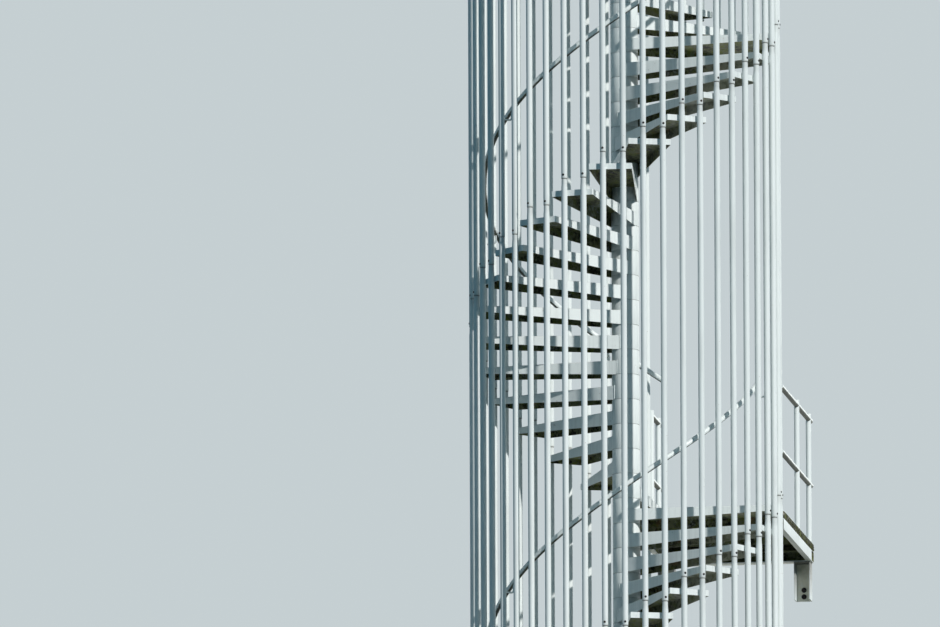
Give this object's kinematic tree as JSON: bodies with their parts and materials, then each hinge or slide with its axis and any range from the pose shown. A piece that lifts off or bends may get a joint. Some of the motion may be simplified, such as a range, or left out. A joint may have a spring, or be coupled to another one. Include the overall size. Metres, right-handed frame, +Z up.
{
  "type": "spiral fire escape stair tower",
  "caption": "Outdoor spiral escape stair with folded steel treads on a centre column, a cage of vertical tubes, a helical handrail and platforms that bridge to a wall.",
  "frame": {"origin": "centre of the base plate's underside, on the column's axis, where the stair stands on the ground", "axes": "+Z up along the column, +Y from the column towards the wall, +X along the wall to the side with the long platform rail"},
  "size_m": [2.5, 3.2, 12.9],
  "materials": {
    "tread_paint": "weathered white paint, mossy underside",
    "column_paint": "white paint, satin",
    "cage_paint": "white paint, satin, light dirt at the joints",
    "platform_paint": "weathered white paint, mossy underside",
    "rail_paint": "white paint, satin",
    "galvanised": "dull galvanised steel"
  },
  "bodies": {
    "root": {"base_plate": "galvanised", "base_gussets": "column_paint", "centre_pole": "galvanised", "spacer_rings": "galvanised", "pole_cap": "column_paint", "hub_sleeves_lower": "column_paint", "hub_sleeves_middle": "column_paint", "hub_sleeves_upper": "column_paint", "treads_lower": "tread_paint", "treads_middle": "tread_paint", "treads_upper": "tread_paint", "door_platform_deck": "platform_paint", "door_platform_beams": "platform_paint", "door_platform_ribs": "platform_paint", "door_wall_brackets": "platform_paint", "rest_landing_deck": "platform_paint", "top_platform_deck": "platform_paint", "top_platform_beams": "platform_paint", "top_platform_ribs": "platform_paint", "top_wall_brackets": "platform_paint", "cage_foot_ring": "cage_paint", "cage_bars_foot": "cage_paint", "cage_bars_lower": "cage_paint", "cage_bars_middle": "cage_paint", "cage_bars_upper": "cage_paint", "cage_top_ring": "cage_paint", "door_rail_left": "rail_paint", "door_rail_right": "rail_paint", "top_rail_left": "rail_paint", "top_rail_right": "rail_paint", "well_guard": "rail_paint", "handrail_lower": "rail_paint", "handrail_middle": "rail_paint", "handrail_upper": "rail_paint", "rail_stays_lower": "rail_paint", "rail_stays_middle": "rail_paint", "rail_stays_upper": "rail_paint"}
  },
  "joints": []
}
